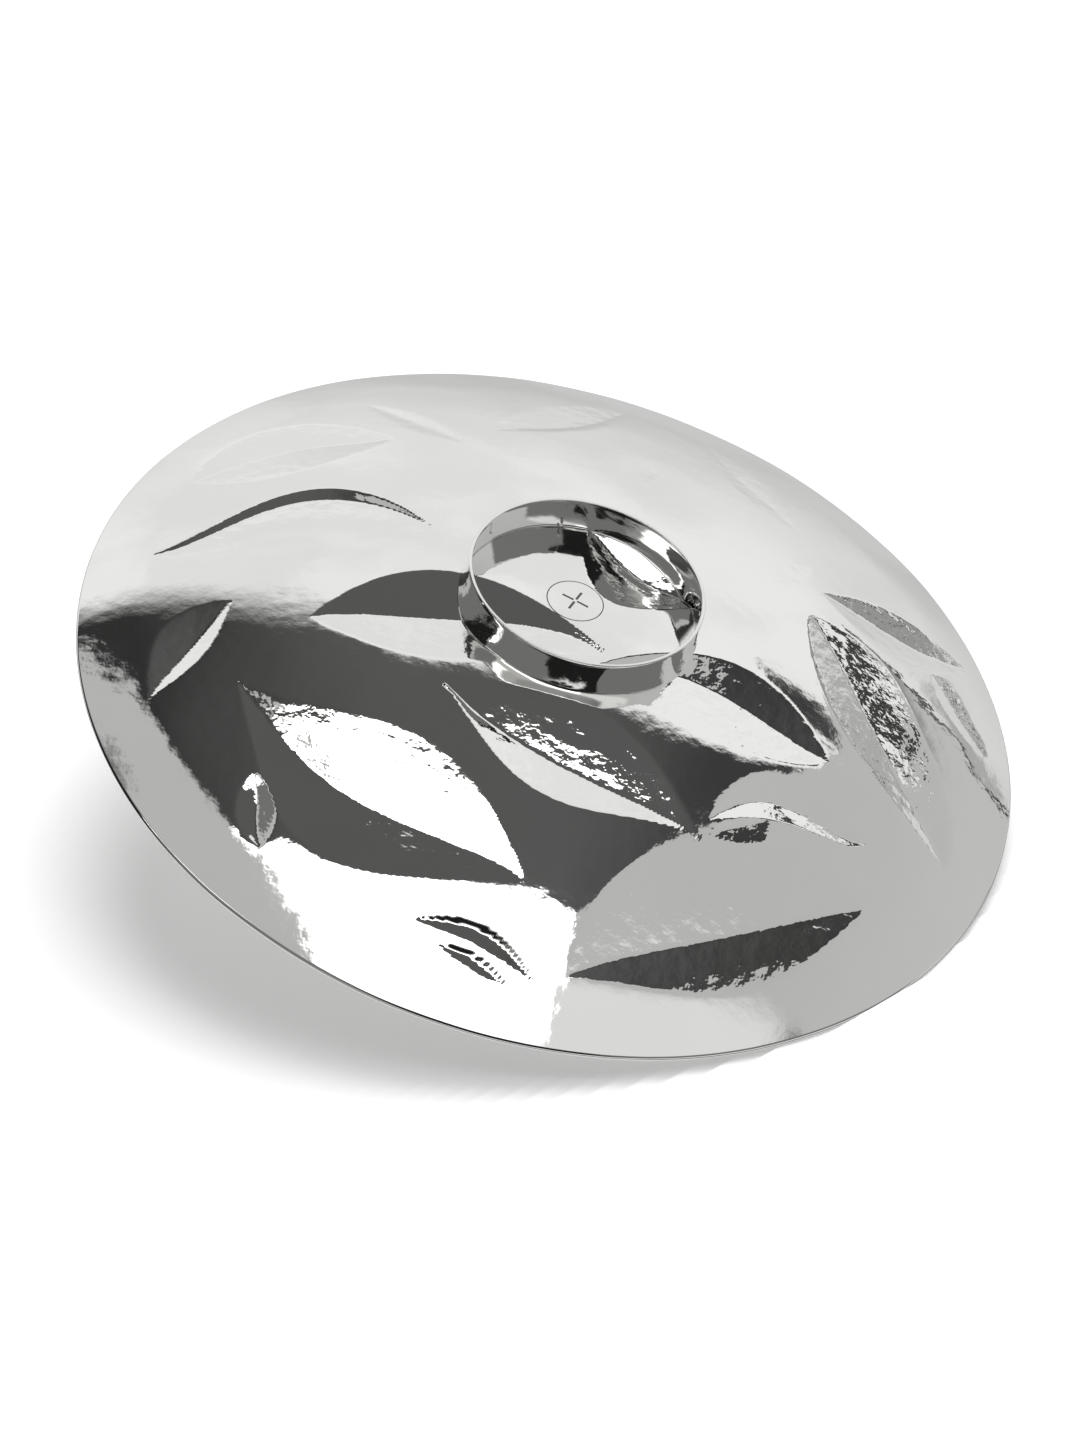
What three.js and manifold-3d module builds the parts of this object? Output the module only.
// A footed communion paten: a shallow dish raised from one sheet of metal, chased with leaves,
// standing on a low band that is soldered to its underside.
// Millimetres, +Z up. The origin is the centre of the circle on which the foot stands.
import * as THREE from "three";
import { mergeVertices } from "three/addons/utils/BufferGeometryUtils.js";
import Module from "manifold-3d";

const wasm = await Module();
wasm.setup();

// Driving dimensions.
const RIM_RADIUS = 120;
const SHEET = 1.2; // thickness of the dish's metal
const FOOT_FLOOR = 7.1; // height of the dish's underside at its centre
const DISH_RISE = 30.2; // from the underside's centre up to the underside of the rim
const BAND_RADIUS = 29.8; // outside of the foot band at its free edge
const BAND_FLARE = 0.6; // how much wider the band is where it meets the dish
const BAND_THICKNESS = 0.9;
const SEAM_WIDTH = 0.5; // solder line that closes the band
const SEAM_ANGLE = THREE.MathUtils.degToRad(68); // where that line is, from +X towards +Y
const FILLET = 1.2; // leg of the solder fillet inside the foot
const GAP = 0.3; // left between faceted neighbours
const SECTORS = 88;

// Each leaf is chased upwards from below as a valley with a sharp midrib.
// root and tip are [x, y] in plan, bow bends the midrib to the left of the way from root to tip,
// and left and right are the widths of the two halves.
const LEAVES = [
  { root: [72.6, -49.9], tip: [-8.4, -84.5], bow: 7.4, left: 12.5, right: 20.5, depth: 3.2 },
  { root: [27.1, -37.6], tip: [-46.4, -57.4], bow: 2.5, left: 10.7, right: 17.0, depth: 2.8 },
  { root: [60.3, -25.4], tip: [-16.6, -21.9], bow: -6.6, left: 15.4, right: 14.7, depth: 2.6 },
  { root: [-13.1, -23.6], tip: [-71.7, -11.9], bow: -5.7, left: 16.0, right: 12.0, depth: 2.6 },
  { root: [-56.3, 33.6], tip: [-105.0, -25.9], bow: 0, left: 14.0, right: 12.0, depth: 2.4 },
  { root: [-57.7, 45.5], tip: [-98.8, 55.1], bow: 1.5, left: 8.0, right: 8.7, depth: 1.8 },
  { root: [-91.3, 40.6], tip: [-110.2, 21.0], bow: 0, left: 9.0, right: 4.5, depth: 1.2 },
  { root: [-22.7, -103.2], tip: [-88.9, -49.9], bow: 0, left: 13.4, right: 20.0, depth: 3.4 },
  { root: [-43.7, -52.5], tip: [-84.8, -32.9], bow: -7.9, left: 5.5, right: 7.0, depth: 1.5 },
  { root: [13.6, -99.7], tip: [-17.5, -105.7], bow: -1.5, left: 5.0, right: 4.5, depth: 1.2 },
  { root: [61.2, -72.6], tip: [53.4, -91.8], bow: 0, left: 3.5, right: 3.2, depth: 1.0 },
  { root: [81.3, -24.5], tip: [91.3, -56.3], bow: 1.4, left: 6.0, right: 7.5, depth: 1.5 },
  { root: [40.6, 13.1], tip: [105.3, -7.9], bow: 13.6, left: 3.5, right: 12.0, depth: 1.5 },
  { root: [58.1, 51.6], tip: [103.2, 24.5], bow: 0, left: 10.0, right: 7.0, depth: 1.4 },
  { root: [36.7, 67.3], tip: [0.9, 109.8], bow: -3.0, left: 12.0, right: 4.0, depth: 1.4 },
  { root: [-47.2, 70.0], tip: [-17.5, 105.0], bow: 3.0, left: 4.0, right: 12.0, depth: 1.2 },
  { root: [-45.5, 38.8], tip: [-54.6, 53.9], bow: 0, left: 3.0, right: 3.0, depth: 0.6 },
  { root: [41.6, 57.4], tip: [70.0, 70.3], bow: 0, left: 6.0, right: 6.0, depth: 1.0 },
];

// How far one leaf lifts the sheet at a point in plan.
function leafLift(leaf, x, y) {
  const along = new THREE.Vector2(leaf.tip[0] - leaf.root[0], leaf.tip[1] - leaf.root[1]);
  const length = along.length();
  along.divideScalar(length);
  const dx = x - leaf.root[0];
  const dy = y - leaf.root[1];
  const s = (dx * along.x + dy * along.y) / length;
  if (s <= 0 || s >= 1) return 0;
  const lens = 4 * s * (1 - s); // 0 at both tips and 1 halfway
  const side = -dx * along.y + dy * along.x - leaf.bow * lens;
  const width = (side > 0 ? leaf.left : leaf.right) * lens;
  const inward = 1 - Math.abs(side) / width; // 1 on the midrib and 0 on the outline
  return inward > 0 ? leaf.depth * Math.pow(lens, 0.7) * inward : 0;
}

const relief = (x, y) => LEAVES.reduce((most, leaf) => Math.max(most, leafLift(leaf, x, y)), 0);
const bowl = (radius) => FOOT_FLOOR + DISH_RISE * (radius / RIM_RADIUS) ** 2;
const underside = (x, y) => bowl(Math.hypot(x, y)) + relief(x, y);

// A ring of revolution about Z from a closed profile of [radius, height] points.
function revolve(profile) {
  const points = profile.map(([radius, height]) => new THREE.Vector2(radius, height));
  return new THREE.LatheGeometry(points, SECTORS).rotateX(Math.PI / 2);
}

// Moves every vertex up or down: height(x, y, z) gives its new z.
function reshape(geometry, height) {
  const place = geometry.getAttribute("position");
  for (let i = 0; i < place.count; i++)
    place.setZ(i, height(place.getX(i), place.getY(i), place.getZ(i)));
  geometry.computeVertexNormals();
  return geometry;
}

function solidOf(geometry) {
  const plain = geometry.clone();
  plain.deleteAttribute("normal");
  plain.deleteAttribute("uv");
  const merged = mergeVertices(plain, 1e-3);
  return new wasm.Manifold(
    new wasm.Mesh({
      numProp: 3,
      vertProperties: merged.getAttribute("position").array,
      triVerts: new Uint32Array(merged.index.array),
    }),
  );
}

function geometryOf(solid) {
  const mesh = solid.getMesh();
  const geometry = new THREE.BufferGeometry();
  geometry.setAttribute("position", new THREE.BufferAttribute(mesh.vertProperties, 3));
  geometry.setIndex(new THREE.BufferAttribute(mesh.triVerts, 1));
  geometry.computeVertexNormals();
  return geometry;
}

const BAND_TOP_RADIUS = BAND_RADIUS + BAND_FLARE;
const BAND_INSIDE = BAND_TOP_RADIUS - BAND_THICKNESS; // inside of the band where it meets the dish

// The dish: rings of vertices over the underside and back over the top. The rings near the foot
// sit on its walls, so that the band can follow the leaves that run under it.
function dishGeometry() {
  const footRings = [BAND_INSIDE - GAP - FILLET, BAND_INSIDE, BAND_TOP_RADIUS];
  const innerRings = [7, 13, 18.5, 23.5];
  const outerRings = [];
  const count = 17;
  for (let i = 1; i <= count; i++)
    outerRings.push(BAND_TOP_RADIUS + ((RIM_RADIUS - BAND_TOP_RADIUS) * i) / count);
  const radii = [0, ...innerRings, ...footRings, ...outerRings];
  const slope = (radius) => (2 * DISH_RISE * radius) / RIM_RADIUS ** 2;
  const upright = (radius) => SHEET * Math.hypot(1, slope(radius));
  const below = radii.map((radius) => [radius, bowl(radius)]);
  const above = radii.map((radius) => [radius, bowl(radius) + upright(radius)]).reverse();
  return reshape(revolve([...below, ...above]), (x, y, z) => z + relief(x, y));
}

// The foot band: a strip bent into a ring, its upper edge filed to the dish above it.
function bandGeometry() {
  const profile = [
    [BAND_RADIUS - BAND_THICKNESS, 0],
    [BAND_RADIUS, 0],
    [BAND_TOP_RADIUS, 1],
    [BAND_INSIDE, 1],
    [BAND_RADIUS - BAND_THICKNESS, 0],
  ];
  const ring = reshape(revolve(profile), (x, y, z) => (z > 0.5 ? underside(x, y) - GAP : 0));
  const slot = new THREE.BoxGeometry(4, SEAM_WIDTH + 2 * GAP, 4 * FOOT_FLOOR);
  slot.translate(BAND_RADIUS, 0, 0);
  slot.rotateZ(SEAM_ANGLE);
  return geometryOf(solidOf(ring).subtract(solidOf(slot)));
}

// The solder that closes the band, with the drop that ran down its inside.
function seamGeometry() {
  const top = bowl(BAND_INSIDE) - 2 * GAP;
  const line = new THREE.BoxGeometry(BAND_THICKNESS, SEAM_WIDTH, top);
  line.translate(BAND_RADIUS - BAND_THICKNESS / 2 + BAND_FLARE / 2, 0, top / 2);
  const drop = new THREE.SphereGeometry(0.7, 12, 8);
  drop.scale(0.8, 0.8, 1.6);
  drop.translate(BAND_RADIUS - BAND_THICKNESS - 0.55, 0, top - FILLET - 1.8);
  const neck = new THREE.BoxGeometry(1, 0.4, 0.8);
  neck.translate(BAND_RADIUS - BAND_THICKNESS, 0, top - FILLET - 1.8);
  const seam = solidOf(line).add(solidOf(drop)).add(solidOf(neck));
  return geometryOf(seam).rotateZ(SEAM_ANGLE);
}

// The fillet of solder in the corner between the band's inside and the dish.
function filletGeometry() {
  const wall = BAND_INSIDE - GAP - 0.1;
  const profile = [
    [wall, 0],
    [wall, 1],
    [wall - FILLET, 1],
    [wall, 0],
  ];
  const ring = revolve(profile);
  return reshape(ring, (x, y, z) => underside(x, y) - GAP - (z < 0.5 ? FILLET : 0));
}

const silver = new THREE.MeshStandardMaterial({ color: 0xe9e9e6, roughness: 0.06, metalness: 1 });
const solder = new THREE.MeshStandardMaterial({ color: 0xd8d8d4, roughness: 0.22, metalness: 1 });

function piece(name, geometry, material) {
  const mesh = new THREE.Mesh(geometry, material);
  mesh.name = name;
  return mesh;
}

const paten = new THREE.Group();
paten.add(piece("dish", dishGeometry(), silver));
paten.add(piece("foot_band", bandGeometry(), silver));
paten.add(piece("band_seam_solder", seamGeometry(), solder));
paten.add(piece("foot_solder_fillet", filletGeometry(), solder));

export default paten;
